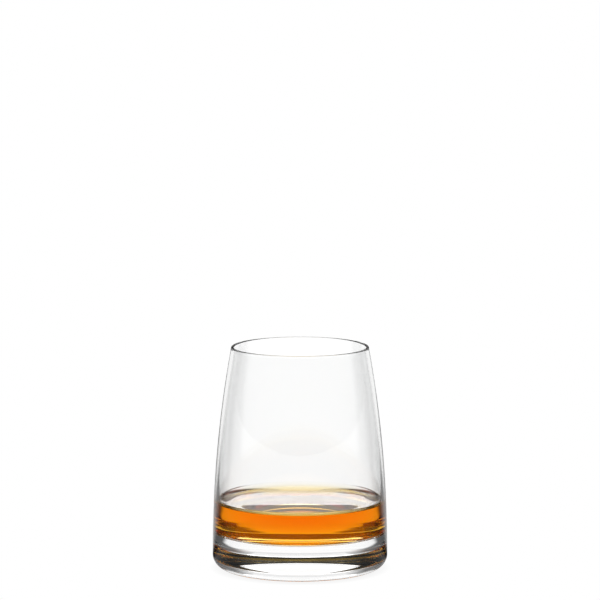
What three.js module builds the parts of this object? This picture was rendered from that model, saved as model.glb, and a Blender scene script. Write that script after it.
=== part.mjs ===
// Whisky tumbler with a measure of whisky in it.
// Millimetres, +Z up. The origin is the centre of the foot, on the table.

import * as THREE from 'three';

// Outside of the glass
const HEIGHT = 102;
const BELLY_RADIUS = 40;
const RIM_RADIUS = 31.4;
const HEEL_RADIUS = 6.2;
const FOOT_WIDTH = 10.8;
const PUNT_DEPTH = 3.6;

// Inside of the glass
const LIP_THICKNESS = 1.3;
const WALL_THICKNESS = 2.3;
const FLOOR_HEIGHT = 15.5;
const FLOOR_DISH_RADIUS = 900;
const BOWL_CORNER_RADIUS = 4;

// Whisky
const WHISKY_DEPTH = 14.3;
const WHISKY_CLEARANCE = 0.3;
const CAPILLARY_LENGTH = 1.8;
const MENISCUS_ANGLE = THREE.MathUtils.degToRad(82);
const MENISCUS_LEAST_ANGLE = THREE.MathUtils.degToRad(0.4);

// Facets round the axis, and along each stretch of a profile
const SEGMENTS = 64;
const PUNT_STEPS = 8;
const HEEL_STEPS = 6;
const SIDE_STEPS = 16;
const LIP_STEPS = 6;
const CORNER_STEPS = 7;
const FLOOR_STEPS = 4;
const MENISCUS_STEPS = 10;

// Looks of the two materials
const glassMaterial = new THREE.MeshStandardMaterial({
  color: 0xf4f7f7,
  roughness: 0.02,
  metalness: 0,
  transparent: true,
  opacity: 0.3,
});
const whiskyMaterial = new THREE.MeshStandardMaterial({
  color: 0xe8780a,
  roughness: 0.02,
  metalness: 0,
  transparent: true,
  opacity: 0.85,
});

// Profile points are (distance from the axis, height)
function point(r, z) {
  return new THREE.Vector2(r, z);
}

// Arc round a centre between two angles in radians, both ends included
function arc(centre, radius, start, end, steps) {
  const points = [];
  for (let i = 0; i <= steps; i += 1) {
    const angle = start + ((end - start) * i) / steps;
    points.push(point(centre.x + radius * Math.cos(angle), centre.y + radius * Math.sin(angle)));
  }
  return points;
}

// Side wall that leaves its foot upright and leans in, as a parabola, to its top
function wall(foot, top, steps) {
  const upright = point(foot.x, (foot.y + top.y) / 2);
  return new THREE.QuadraticBezierCurve(foot, upright, top).getPoints(steps);
}

// Hollowed underside, from the axis out to the flat ring that the glass stands on
function puntProfile() {
  const puntRadius = BELLY_RADIUS - HEEL_RADIUS - FOOT_WIDTH;
  const domeRadius = (puntRadius ** 2 + PUNT_DEPTH ** 2) / (2 * PUNT_DEPTH);
  const domeCentre = point(0, PUNT_DEPTH - domeRadius);
  const edgeAngle = Math.asin(puntRadius / domeRadius);
  return arc(domeCentre, domeRadius, Math.PI / 2, Math.PI / 2 - edgeAngle, PUNT_STEPS);
}

// Round heel and tapering side, from the foot ring up to the lip
function sideProfile() {
  const heelCentre = point(BELLY_RADIUS - HEEL_RADIUS, HEEL_RADIUS);
  const heel = arc(heelCentre, HEEL_RADIUS, -Math.PI / 2, 0, HEEL_STEPS);
  const belly = point(BELLY_RADIUS, HEEL_RADIUS);
  const rim = point(RIM_RADIUS, HEIGHT - LIP_THICKNESS / 2);
  return [...heel, ...wall(belly, rim, SIDE_STEPS).slice(1)];
}

// Rolled lip, over from the outside to the inside
function lipProfile() {
  const centre = point(RIM_RADIUS - LIP_THICKNESS / 2, HEIGHT - LIP_THICKNESS / 2);
  return arc(centre, LIP_THICKNESS / 2, 0, Math.PI, LIP_STEPS).slice(1, -1);
}

// Inside of the glass less a clearance, from the axis out along the dished floor and up to the lip
function bowlProfile(clearance) {
  const wallRadius = BELLY_RADIUS - WALL_THICKNESS;
  const cornerOffset = wallRadius - BOWL_CORNER_RADIUS;
  const dishToCorner = FLOOR_DISH_RADIUS - BOWL_CORNER_RADIUS;
  const dishCentre = point(0, FLOOR_HEIGHT + FLOOR_DISH_RADIUS);
  const cornerCentre = point(cornerOffset, dishCentre.y - Math.sqrt(dishToCorner ** 2 - cornerOffset ** 2));
  const meetAngle = Math.asin(cornerOffset / dishToCorner) - Math.PI / 2;
  const dishRadius = FLOOR_DISH_RADIUS - clearance;
  const cornerRadius = BOWL_CORNER_RADIUS - clearance;
  const foot = point(wallRadius - clearance, cornerCentre.y);
  const top = point(RIM_RADIUS - LIP_THICKNESS - clearance, HEIGHT - LIP_THICKNESS / 2);
  return [
    ...arc(dishCentre, dishRadius, -Math.PI / 2, meetAngle, FLOOR_STEPS),
    ...arc(cornerCentre, cornerRadius, meetAngle, 0, CORNER_STEPS).slice(1),
    ...wall(foot, top, SIDE_STEPS).slice(1),
  ];
}

// The part of a rising profile below a level, with its last point on that level
function below(profile, level) {
  const over = profile.findIndex((p) => p.y >= level);
  const share = (level - profile[over - 1].y) / (profile[over].y - profile[over - 1].y);
  return [...profile.slice(0, over), profile[over - 1].clone().lerp(profile[over], share)];
}

// Height above the level of a still liquid where its surface has this slope
function meniscusRise(angle) {
  return 2 * CAPILLARY_LENGTH * Math.sin(angle / 2);
}

// Distance from an upright wall at which the surface has this slope
function meniscusReach(angle) {
  const reach = (a) => Math.log(Math.tan(a / 4)) + 2 * Math.cos(a / 2);
  return CAPILLARY_LENGTH * (reach(MENISCUS_ANGLE) - reach(angle));
}

// Top of the whisky, from the wall, where it climbs by surface tension, in to the axis
function whiskyTopProfile(wallRadius, level) {
  const points = [];
  for (let i = 1; i <= MENISCUS_STEPS; i += 1) {
    const angle = MENISCUS_ANGLE * (MENISCUS_LEAST_ANGLE / MENISCUS_ANGLE) ** (i / MENISCUS_STEPS);
    points.push(point(wallRadius - meniscusReach(angle), level + meniscusRise(angle)));
  }
  points.push(point(0, level));
  return points;
}

// Profile turned once round the Z axis
function turned(name, profile, material) {
  const geometry = new THREE.LatheGeometry(profile, SEGMENTS);
  geometry.rotateX(Math.PI / 2);
  const mesh = new THREE.Mesh(geometry, material);
  mesh.name = name;
  return mesh;
}

function glassTumbler() {
  const inside = bowlProfile(0).reverse();
  const profile = [...puntProfile(), ...sideProfile(), ...lipProfile(), ...inside];
  profile[0].x = 0;
  profile[profile.length - 1].x = 0;
  return turned('glass_tumbler', profile, glassMaterial);
}

function whisky() {
  const level = FLOOR_HEIGHT + WHISKY_DEPTH;
  const outside = below(bowlProfile(WHISKY_CLEARANCE), level + meniscusRise(MENISCUS_ANGLE));
  const wallRadius = outside[outside.length - 1].x;
  const profile = [...outside, ...whiskyTopProfile(wallRadius, level)];
  profile[0].x = 0;
  return turned('whisky', profile, whiskyMaterial);
}

const whiskyGlass = new THREE.Group();
whiskyGlass.name = 'whisky_glass';
whiskyGlass.add(glassTumbler(), whisky());

export default whiskyGlass;
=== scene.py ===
# Looks of a whisky tumbler that holds a measure of whisky, built around its CAD model.
# Metres, +Z up. The glass stands on Z = 0 with its axis on the Z axis.

import math

import bpy
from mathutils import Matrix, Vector


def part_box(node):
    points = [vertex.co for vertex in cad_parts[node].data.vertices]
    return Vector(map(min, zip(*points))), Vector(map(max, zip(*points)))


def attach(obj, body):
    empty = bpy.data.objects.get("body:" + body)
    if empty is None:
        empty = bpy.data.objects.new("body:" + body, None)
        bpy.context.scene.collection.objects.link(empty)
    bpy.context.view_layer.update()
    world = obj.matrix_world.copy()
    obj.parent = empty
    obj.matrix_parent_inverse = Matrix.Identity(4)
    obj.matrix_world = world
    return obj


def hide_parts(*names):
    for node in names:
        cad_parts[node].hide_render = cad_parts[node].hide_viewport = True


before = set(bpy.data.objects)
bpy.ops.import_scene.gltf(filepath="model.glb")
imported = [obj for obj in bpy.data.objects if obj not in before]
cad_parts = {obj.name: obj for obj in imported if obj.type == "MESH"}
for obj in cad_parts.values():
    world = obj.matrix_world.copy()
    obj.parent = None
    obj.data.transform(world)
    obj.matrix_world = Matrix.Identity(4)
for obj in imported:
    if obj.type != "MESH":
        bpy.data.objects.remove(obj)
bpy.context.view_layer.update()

# Outside of the glass
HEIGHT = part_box("glass_tumbler")[1].z
BELLY_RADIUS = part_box("glass_tumbler")[1].x
RIM_RADIUS = 0.0314
HEEL_RADIUS = 0.0062
FOOT_WIDTH = 0.0108
PUNT_DEPTH = 0.0036

# Inside of the glass
LIP_THICKNESS = 0.0013
WALL_THICKNESS = 0.0023
FLOOR_HEIGHT = 0.0155
FLOOR_DISH_RADIUS = 0.9
BOWL_CORNER_RADIUS = 0.004

# Whisky
WHISKY_DEPTH = 0.0143
WHISKY_CLEARANCE = 0.00002
CAPILLARY_LENGTH = 0.0018
MENISCUS_ANGLE = math.radians(82)
MENISCUS_LEAST_ANGLE = math.radians(0.02)

# Facets round the axis, and along each stretch of a profile
SEGMENTS = 256
PUNT_STEPS = 24
HEEL_STEPS = 32
SIDE_STEPS = 48
LIP_STEPS = 16
CORNER_STEPS = 24
FLOOR_STEPS = 24
MENISCUS_STEPS = 32

# Optics
GLASS_IOR = 1.52
WHISKY_IOR = 1.36
UNBENT_IOR = 1.0
IOR_ATTRIBUTE = "ior"
WHISKY_COLOUR = (0.9945, 0.785, 0.0, 1)
WHISKY_DENSITY = 110

# Faint waviness of the surfaces, in waves to the metre, and its height
GLASS_WAVES = 55
GLASS_WAVE_HEIGHT = 0.000012
WHISKY_WAVES = 80
WHISKY_WAVE_HEIGHT = 0.000004
WAVE_DETAIL = 1

# Wiped places: how many to a wave, how much of the noise stays polished, finest polish and haze
WIPES_PER_WAVE = 4
WIPE_DETAIL = 3
POLISHED_SHARE = 0.5
ROUGHNESS_RANGE = (0.0, 0.008)

# Uneven tint: how many patches to a wave, and the two colours that it runs between
TINTS_PER_WAVE = 0.5
TINT_DETAIL = 2
GLASS_TINTS = ((1, 1, 1, 1), (0.992, 0.997, 0.996, 1))
WHISKY_TINTS = ((1, 1, 1, 1), (1, 0.985, 0.95, 1))

# Floor, and the soft contact shadow that the camera sees on it
FLOOR_SIZE = 8
FLOOR_DROP = 0.0002
SHADOW_REACH = 0.004
SHADOW_DEPTH = 0.1
SHADOW_SAMPLES = 8

# Low light panel behind the glass, wider at its far edge
PANEL_HEIGHT = 0.06
PANEL_NEAR = 0.15
PANEL_FAR = 0.5
PANEL_NEAR_HALF_WIDTH = 0.063
PANEL_FAR_HALF_WIDTH = 0.18

# Studio light, and light and shade painted on the floor, for the rays that the glass bends or mirrors,
# as stops (place, brightness or share).
# A brightness of 1 is white. Bearings are in degrees to either side of straight behind the glass,
# heights in degrees above the horizon, and distances in millimetres from the axis.
MILLIMETRES = 1000

# Painted light on the floor by bearing, and the share of it left lit by the glass's painted shadow, by
# bearing from a point under the glass's back
FLOOR_LIGHT = ((0, 1.07), (33, 1.0), (42, 0.3), (54, 0.04), (180, 0.04))
WEDGE_POINT = 0.035
CAST_SHADOW_SHARE = ((0, 1.0), (31, 1.0), (42, 0.12), (180, 0.1))

# White floor in front of the glass by bearing, and under it by distance
WHITE_FLOOR = 1.0
FRONT_FLOOR_SHARE = ((0, 0.0), (62, 0.0), (80, 1.0), (180, 1.0))
UNDER_FLOOR_SHARE = ((0, 1.0), (38, 1.0), (42, 0.0), (200, 0.0))

# Painted contact shadow: share of the floor's light by distance, least where the glass stands on it
CONTACT_SHADOW_SHARE = ((0, 0.8), (30, 0.8), (36, 0.1), (40.5, 0.03), (42.5, 1.0), (200, 1.0))

# Room by bearing and by height, which is white for the camera
WHITE_ROOM = 1.0
ROOM_LIGHT = ((0, 1.1), (22, 1.1), (40, 0.25), (66, 0.08), (180, 0.04))
ROOM_HEIGHT_SHARE = ((0, 1.0), (9, 0.6), (15, 0.7), (35, 0.1), (90, 0.04))

# Dim front of the room by height and by bearing
FRONT_LIGHT = ((0, 0.02), (15, 0.04), (46, 0.12), (90, 0.12))
FRONT_SHARE = ((0, 0.0), (92, 0.0), (102, 1.0), (180, 1.0))

# Soft box behind the glass by height and by bearing
BOX_LIGHT = ((0, 0.0), (13, 0.0), (16, 1.0), (23, 2.2), (28, 2.2), (31, 0.0), (90, 0.0))
BOX_SHARE = ((0, 1.0), (6, 1.0), (20, 0.7), (40, 0.5), (60, 0.0), (180, 0.0))

# Underside of the low panel by distance behind the axis
PANEL_LIGHT = ((0, 2.8), (176, 2.8), (192, 1.0), (500, 1.0))

# Light by bearing where the glass mirrors the floor and room, painted on the floor, and painted light on
# the floor in front by distance
MIRRORED_LIGHT = ((0, 0.04), (15, 0.05), (20, 0.7), (40, 0.7), (60, 0.03), (180, 0.02))
MIRRORED_FRONT_LIGHT = ((0, 0.3), (85, 0.3), (115, 0.0), (200, 0.0))

# Bounces that let light leave the thick base of the glass
MOST_BOUNCES = 24
MIRROR_BOUNCES = 12

# Camera, from the photograph's perspective, with its sensor and lens in millimetres
CAMERA_PLACE = Vector((0, -1.7223, 0.3527))
CAMERA_TARGET = Vector((0, 0, 0.12326))
CAMERA_SENSOR = 36
CAMERA_LENS = 229.3


def arc(centre, radius, start, end, steps):
    """Points (distance from the axis, height) on an arc, both ends included."""
    points = []
    for i in range(steps + 1):
        angle = start + (end - start) * i / steps
        points.append((centre[0] + radius * math.cos(angle), centre[1] + radius * math.sin(angle)))
    return points


def wall(foot, top, steps):
    """Side wall that leaves its foot upright and leans in, as a parabola, to its top."""
    points = []
    for i in range(steps + 1):
        share = i / steps
        points.append((foot[0] + (top[0] - foot[0]) * share**2, foot[1] + (top[1] - foot[1]) * share))
    return points


def punt_profile():
    """Hollowed underside, from the axis out to the flat ring that the glass stands on."""
    punt_radius = BELLY_RADIUS - HEEL_RADIUS - FOOT_WIDTH
    dome_radius = (punt_radius**2 + PUNT_DEPTH**2) / (2 * PUNT_DEPTH)
    edge_angle = math.asin(punt_radius / dome_radius)
    centre = (0, PUNT_DEPTH - dome_radius)
    return arc(centre, dome_radius, math.pi / 2, math.pi / 2 - edge_angle, PUNT_STEPS)


def side_profile():
    """Round heel and tapering side, from the foot ring up to the lip."""
    heel = arc((BELLY_RADIUS - HEEL_RADIUS, HEEL_RADIUS), HEEL_RADIUS, -math.pi / 2, 0, HEEL_STEPS)
    rim = (RIM_RADIUS, HEIGHT - LIP_THICKNESS / 2)
    return heel + wall((BELLY_RADIUS, HEEL_RADIUS), rim, SIDE_STEPS)[1:]


def lip_profile():
    """Rolled lip, over from the outside to the inside."""
    centre = (RIM_RADIUS - LIP_THICKNESS / 2, HEIGHT - LIP_THICKNESS / 2)
    return arc(centre, LIP_THICKNESS / 2, 0, math.pi, LIP_STEPS)[1:-1]


def bowl_profile(clearance):
    """Inside of the glass less a clearance, from the axis out along the floor and up to the lip."""
    wall_radius = BELLY_RADIUS - WALL_THICKNESS
    corner_offset = wall_radius - BOWL_CORNER_RADIUS
    dish_to_corner = FLOOR_DISH_RADIUS - BOWL_CORNER_RADIUS
    dish_centre = (0, FLOOR_HEIGHT + FLOOR_DISH_RADIUS)
    corner_centre = (corner_offset, dish_centre[1] - math.sqrt(dish_to_corner**2 - corner_offset**2))
    meet_angle = math.asin(corner_offset / dish_to_corner) - math.pi / 2
    foot = (wall_radius - clearance, corner_centre[1])
    top = (RIM_RADIUS - LIP_THICKNESS - clearance, HEIGHT - LIP_THICKNESS / 2)
    floor = arc(dish_centre, FLOOR_DISH_RADIUS - clearance, -math.pi / 2, meet_angle, FLOOR_STEPS)
    corner = arc(corner_centre, BOWL_CORNER_RADIUS - clearance, meet_angle, 0, CORNER_STEPS)
    return floor + corner[1:] + wall(foot, top, SIDE_STEPS)[1:]


def below(profile, level):
    """The part of a rising profile below a level, with its last point on that level."""
    over = next(i for i, point in enumerate(profile) if point[1] >= level)
    (r0, z0), (r1, z1) = profile[over - 1], profile[over]
    share = (level - z0) / (z1 - z0)
    return profile[:over] + [(r0 + (r1 - r0) * share, level)]


def meniscus_rise(angle):
    """Height above the level of a still liquid where its surface has this slope."""
    return 2 * CAPILLARY_LENGTH * math.sin(angle / 2)


def meniscus_reach(angle):
    """Distance from an upright wall at which the surface has this slope."""
    def reach(a):
        return math.log(math.tan(a / 4)) + 2 * math.cos(a / 2)
    return CAPILLARY_LENGTH * (reach(MENISCUS_ANGLE) - reach(angle))


def whisky_top_profile(wall_radius, level):
    """Top of the whisky, from the wall, where it climbs by surface tension, in to the axis."""
    points = []
    for i in range(1, MENISCUS_STEPS + 1):
        angle = MENISCUS_ANGLE * (MENISCUS_LEAST_ANGLE / MENISCUS_ANGLE) ** (i / MENISCUS_STEPS)
        points.append((wall_radius - meniscus_reach(angle), level + meniscus_rise(angle)))
    return points + [(0, level)]


def turned(name, profile):
    """Mesh object of a profile turned round the Z axis, from the axis back to the axis."""
    verts = []
    rings = []
    for index, (radius, height) in enumerate(profile):
        on_axis = index in (0, len(profile) - 1)
        count = 1 if on_axis else SEGMENTS
        rings.append([len(verts) + i % count for i in range(SEGMENTS + 1)])
        for i in range(count):
            angle = 2 * math.pi * i / SEGMENTS
            reach = 0 if on_axis else radius
            verts.append((reach * math.cos(angle), reach * math.sin(angle), height))
    faces = []
    for low, high in zip(rings, rings[1:]):
        for i in range(SEGMENTS):
            corners = (low[i], low[i + 1], high[i + 1], high[i])
            faces.append(tuple(dict.fromkeys(corners)))
    mesh = bpy.data.meshes.new(name)
    mesh.from_pydata(verts, [], faces)
    mesh.shade_smooth()
    piece = bpy.data.objects.new(name, mesh)
    bpy.context.scene.collection.objects.link(piece)
    return piece


def new_material(name):
    """Node material with its tree and its Principled shader."""
    material = bpy.data.materials.new(name)
    material.use_nodes = True
    return material, material.node_tree, material.node_tree.nodes["Principled BSDF"]


def clouds(tree, scale, detail):
    """Soft noise between 0 and 1, fixed to the piece."""
    noise = tree.nodes.new("ShaderNodeTexNoise")
    noise.inputs["Scale"].default_value = scale
    noise.inputs["Detail"].default_value = detail
    tree.links.new(tree.nodes.new("ShaderNodeTexCoord").outputs["Object"], noise.inputs["Vector"])
    return noise.outputs[0]


def clear_surface(tree, shader, waves, wave_height, tints):
    """Clear body with a faintly wavy skin, wiped here and there, of slightly uneven tint."""
    shader.inputs["Transmission Weight"].default_value = 1
    bump = tree.nodes.new("ShaderNodeBump")
    bump.inputs["Distance"].default_value = wave_height
    tree.links.new(clouds(tree, waves, WAVE_DETAIL), bump.inputs["Height"])
    tree.links.new(bump.outputs["Normal"], shader.inputs["Normal"])
    wiped = tree.nodes.new("ShaderNodeMapRange")
    wiped.inputs["From Min"].default_value = POLISHED_SHARE
    wiped.inputs["To Min"].default_value, wiped.inputs["To Max"].default_value = ROUGHNESS_RANGE
    tree.links.new(clouds(tree, waves * WIPES_PER_WAVE, WIPE_DETAIL), wiped.inputs["Value"])
    tree.links.new(wiped.outputs["Result"], shader.inputs["Roughness"])
    tint = tree.nodes.new("ShaderNodeValToRGB")
    for element, colour in zip(tint.color_ramp.elements, tints):
        element.color = colour
    tree.links.new(clouds(tree, waves * TINTS_PER_WAVE, TINT_DETAIL), tint.inputs["Fac"])
    tree.links.new(tint.outputs["Color"], shader.inputs["Base Color"])


def clear_glass(name, ior):
    """Clear glass against a neighbour that gives it this relative index."""
    material, tree, shader = new_material(name)
    shader.inputs["IOR"].default_value = ior
    clear_surface(tree, shader, GLASS_WAVES, GLASS_WAVE_HEIGHT, GLASS_TINTS)
    return material


def whisky_liquid():
    """Amber liquid. Only its top bends light by itself: where it wets the glass, the glass does."""
    material, tree, shader = new_material("whisky")
    clear_surface(tree, shader, WHISKY_WAVES, WHISKY_WAVE_HEIGHT, WHISKY_TINTS)
    ior = tree.nodes.new("ShaderNodeAttribute")
    ior.attribute_name = IOR_ATTRIBUTE
    shader.inputs["IOR"].default_value = WHISKY_IOR
    tree.links.new(ior.outputs["Fac"], shader.inputs["IOR"])
    absorption = tree.nodes.new("ShaderNodeVolumeAbsorption")
    absorption.inputs["Color"].default_value = WHISKY_COLOUR
    absorption.inputs["Density"].default_value = WHISKY_DENSITY
    tree.links.new(absorption.outputs["Volume"], tree.nodes["Material Output"].inputs["Volume"])
    return material


def whisky_level():
    """Height of the whisky's flat middle."""
    return FLOOR_HEIGHT + WHISKY_DEPTH


def contact_height():
    """Where the whisky's edge meets the glass."""
    return whisky_level() + meniscus_rise(MENISCUS_ANGLE)


def glass_tumbler():
    """The glass, with a slot of its own for the stretch that the whisky wets."""
    wet = below(bowl_profile(0), contact_height())
    dry = [point for point in bowl_profile(0) if point[1] > contact_height()]
    outside = punt_profile() + side_profile() + lip_profile() + dry[::-1]
    piece = turned("clear_tumbler", outside + wet[::-1])
    piece.data.materials.append(clear_glass("clear_glass", GLASS_IOR))
    piece.data.materials.append(clear_glass("wetted_glass", GLASS_IOR / WHISKY_IOR))
    wet_start = len(outside) * SEGMENTS
    for face in piece.data.polygons[wet_start:]:
        face.material_index = 1
    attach(piece, "root")
    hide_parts("glass_tumbler")


def whisky():
    """The whisky, with the index that each face bends light by."""
    outside = below(bowl_profile(WHISKY_CLEARANCE), contact_height())
    top = whisky_top_profile(outside[-1][0], whisky_level())
    piece = turned("whisky_measure", outside + top)
    piece.data.materials.append(whisky_liquid())
    ior = piece.data.attributes.new(IOR_ATTRIBUTE, "FLOAT", "FACE")
    wetted = (len(outside) - 1) * SEGMENTS
    for face in piece.data.polygons:
        ior.data[face.index].value = UNBENT_IOR if face.index < wetted else WHISKY_IOR
    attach(piece, "root")
    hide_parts("whisky")


def math_node(tree, operation, *values):
    """Math node fed by numbers or sockets."""
    node = tree.nodes.new("ShaderNodeMath")
    node.operation = operation
    for socket, value in zip(node.inputs, values):
        if isinstance(value, bpy.types.NodeSocket):
            tree.links.new(value, socket)
        else:
            socket.default_value = value
    return node.outputs[0]


def ramp_node(tree, value, stops):
    """Brightness that runs through stops as value runs from 0 to the last of them."""
    span = stops[-1][0]
    ramp = tree.nodes.new("ShaderNodeValToRGB")
    ramp.color_ramp.interpolation = "EASE"
    elements = ramp.color_ramp.elements
    while len(elements) < len(stops):
        elements.new(stops[1][0] / span)
    for element, (place, light) in zip(elements, stops):
        element.position = place / span
        element.color = (light, light, light, 1)
    tree.links.new(math_node(tree, "DIVIDE", value, span), ramp.inputs["Fac"])
    return ramp.outputs["Color"]


def split(tree, vector):
    """Outputs X, Y and Z of a vector."""
    parts = tree.nodes.new("ShaderNodeSeparateXYZ")
    tree.links.new(vector, parts.inputs[0])
    return parts.outputs


def bearing_degrees(tree, across, behind):
    """Bearing of a place, in degrees to either side of straight behind."""
    bearing = math_node(tree, "ARCTAN2", across, behind)
    return math_node(tree, "DEGREES", math_node(tree, "ABSOLUTE", bearing))


def mixed(tree, share, first, second):
    """First value where share is 0, second value where it is 1."""
    mix = tree.nodes.new("ShaderNodeMix")
    tree.links.new(share, mix.inputs["Factor"])
    for socket, value in ((mix.inputs["A"], first), (mix.inputs["B"], second)):
        if isinstance(value, bpy.types.NodeSocket):
            tree.links.new(value, socket)
        else:
            socket.default_value = value
    return mix.outputs["Result"]


def unless_mirrored(tree, bent, mirrored):
    """Brightness for the rays that glass bends, and another for those that it mirrors."""
    path = tree.nodes.new("ShaderNodeLightPath")
    return mixed(tree, path.outputs["Is Transmission Ray"], mirrored, bent)


def unless_camera(tree, seen, otherwise):
    """Brightness seen for camera rays, and another for the rays that glass bends or mirrors."""
    path = tree.nodes.new("ShaderNodeLightPath")
    return mixed(tree, path.outputs["Is Camera Ray"], otherwise, seen)


def emission_material(name):
    """Material that only gives light."""
    material = bpy.data.materials.new(name)
    material.use_nodes = True
    tree = material.node_tree
    tree.nodes.remove(tree.nodes["Principled BSDF"])
    emission = tree.nodes.new("ShaderNodeEmission")
    tree.links.new(emission.outputs["Emission"], tree.nodes["Material Output"].inputs["Surface"])
    return material, tree, emission


def stage_mesh(name, verts, faces, material):
    """Mesh object that belongs to the studio and not to the part."""
    mesh = bpy.data.meshes.new(name)
    mesh.from_pydata(verts, [], faces)
    mesh.materials.append(material)
    piece = bpy.data.objects.new(name, mesh)
    bpy.context.scene.collection.objects.link(piece)
    return piece


def bent_floor_light(tree, place, bearing, distance):
    """Floor that the glass bends: painted light in a lit wedge behind it, painted shadow to both sides,
    white in front, and a painted contact shadow where it stands.
    """
    parts = split(tree, place)
    behind_point = math_node(tree, "SUBTRACT", parts["Y"], WEDGE_POINT)
    # Painted shadow of the glass on the floor behind it, with a painted wedge of light between its two
    # sides
    wedge = ramp_node(tree, bearing_degrees(tree, parts["X"], behind_point), CAST_SHADOW_SHARE)
    # Painted light on the floor behind the glass, painted dark to both sides
    light = math_node(tree, "MULTIPLY", ramp_node(tree, bearing, FLOOR_LIGHT), wedge)
    light = mixed(tree, ramp_node(tree, bearing, FRONT_FLOOR_SHARE), light, WHITE_FLOOR)
    light = mixed(tree, ramp_node(tree, distance, UNDER_FLOOR_SHARE), light, WHITE_FLOOR)
    # Painted contact shadow where the glass stands on the floor
    return math_node(tree, "MULTIPLY", light, ramp_node(tree, distance, CONTACT_SHADOW_SHARE))


def mirrored_floor_light(tree, bearing, distance):
    """Floor that the glass mirrors, with painted light: bright to both sides behind it, and dimmer close
    in front.
    """
    in_front = ramp_node(tree, bearing, FRONT_FLOOR_SHARE)
    front = math_node(tree, "MULTIPLY", ramp_node(tree, distance, MIRRORED_FRONT_LIGHT), in_front)
    return math_node(tree, "MAXIMUM", ramp_node(tree, bearing, MIRRORED_LIGHT), front)


def seen_floor_light(tree):
    """White for the camera, with a soft shadow where the glass stands."""
    shade = tree.nodes.new("ShaderNodeAmbientOcclusion")
    shade.samples = SHADOW_SAMPLES
    shade.inputs["Distance"].default_value = SHADOW_REACH
    return math_node(tree, "MULTIPLY_ADD", shade.outputs["AO"], SHADOW_DEPTH, 1 - SHADOW_DEPTH)


def floor():
    """Pale floor, white to the camera, with painted light and shade for the rays that the glass bends or
    mirrors.
    """
    material, tree, emission = emission_material("floor")
    place = tree.nodes.new("ShaderNodeNewGeometry").outputs["Position"]
    parts = split(tree, place)
    bearing = bearing_degrees(tree, parts["X"], parts["Y"])
    reach = tree.nodes.new("ShaderNodeVectorMath")
    reach.operation = "LENGTH"
    tree.links.new(place, reach.inputs[0])
    distance = math_node(tree, "MULTIPLY", reach.outputs["Value"], MILLIMETRES)
    bent = bent_floor_light(tree, place, bearing, distance)
    light = unless_mirrored(tree, bent, mirrored_floor_light(tree, bearing, distance))
    tree.links.new(unless_camera(tree, seen_floor_light(tree), light), emission.inputs["Strength"])
    half = FLOOR_SIZE / 2
    corners = [(-half, -half), (half, -half), (half, half), (-half, half)]
    stage_mesh("floor", [(x, y, -FLOOR_DROP) for x, y in corners], [(0, 1, 2, 3)], material)


def low_panel():
    """Bright panel low behind the glass, lit on its underside only, which the whisky mirrors."""
    material, tree, emission = emission_material("low_panel")
    place = tree.nodes.new("ShaderNodeNewGeometry")
    behind = math_node(tree, "MULTIPLY", split(tree, place.outputs["Position"])["Y"], MILLIMETRES)
    tree.links.new(ramp_node(tree, behind, PANEL_LIGHT), emission.inputs["Strength"])
    clear = tree.nodes.new("ShaderNodeBsdfTransparent")
    sides = tree.nodes.new("ShaderNodeMixShader")
    tree.links.new(place.outputs["Backfacing"], sides.inputs["Fac"])
    tree.links.new(emission.outputs["Emission"], sides.inputs[1])
    tree.links.new(clear.outputs["BSDF"], sides.inputs[2])
    tree.links.new(sides.outputs["Shader"], tree.nodes["Material Output"].inputs["Surface"])
    near, far = PANEL_NEAR_HALF_WIDTH, PANEL_FAR_HALF_WIDTH
    corners = [(-near, PANEL_NEAR), (-far, PANEL_FAR), (far, PANEL_FAR), (near, PANEL_NEAR)]
    verts = [(x, y, PANEL_HEIGHT) for x, y in corners]
    piece = stage_mesh("low_panel", verts, [(0, 1, 2, 3)], material)
    piece.visible_camera = False
    piece.visible_shadow = False


def room_light(tree, bearing, height):
    """Room that the glass bends or mirrors: light behind, dim in front, with a soft box behind."""
    bent = ramp_node(tree, bearing, ROOM_LIGHT)
    light = unless_mirrored(tree, bent, ramp_node(tree, bearing, MIRRORED_LIGHT))
    light = math_node(tree, "MULTIPLY", light, ramp_node(tree, height, ROOM_HEIGHT_SHARE))
    for lamp, share in ((FRONT_LIGHT, FRONT_SHARE), (BOX_LIGHT, BOX_SHARE)):
        lit = math_node(tree, "MULTIPLY", ramp_node(tree, height, lamp), ramp_node(tree, bearing, share))
        light = math_node(tree, "MAXIMUM", light, lit)
    return light


def room():
    """World that is white to the camera, and a studio to the rays that glass bends or mirrors."""
    world = bpy.data.worlds.new("room")
    world.use_nodes = True
    bpy.context.scene.world = world
    tree = world.node_tree
    background = tree.nodes["Background"]
    background.inputs["Color"].default_value = (1, 1, 1, 1)
    parts = split(tree, tree.nodes.new("ShaderNodeTexCoord").outputs["Generated"])
    bearing = bearing_degrees(tree, parts["X"], parts["Y"])
    height = math_node(tree, "DEGREES", math_node(tree, "ARCSINE", parts["Z"]))
    light = room_light(tree, bearing, height)
    tree.links.new(unless_camera(tree, WHITE_ROOM, light), background.inputs["Strength"])


def camera():
    """Camera at the photograph's viewing angle."""
    lens = bpy.data.cameras.new("camera")
    lens.sensor_width = CAMERA_SENSOR
    lens.lens = CAMERA_LENS
    eye = bpy.data.objects.new("camera", lens)
    bpy.context.scene.collection.objects.link(eye)
    eye.location = CAMERA_PLACE
    eye.rotation_euler = (CAMERA_TARGET - CAMERA_PLACE).to_track_quat("-Z", "Y").to_euler()
    bpy.context.scene.camera = eye


def light_paths():
    """Enough bounces for light to leave the thick base of the glass."""
    cycles = bpy.context.scene.cycles
    cycles.max_bounces = MOST_BOUNCES
    cycles.transmission_bounces = MOST_BOUNCES
    cycles.glossy_bounces = MIRROR_BOUNCES


camera()
glass_tumbler()
whisky()
floor()
low_panel()
room()
light_paths()
bpy.context.scene.view_settings.view_transform = "Standard"
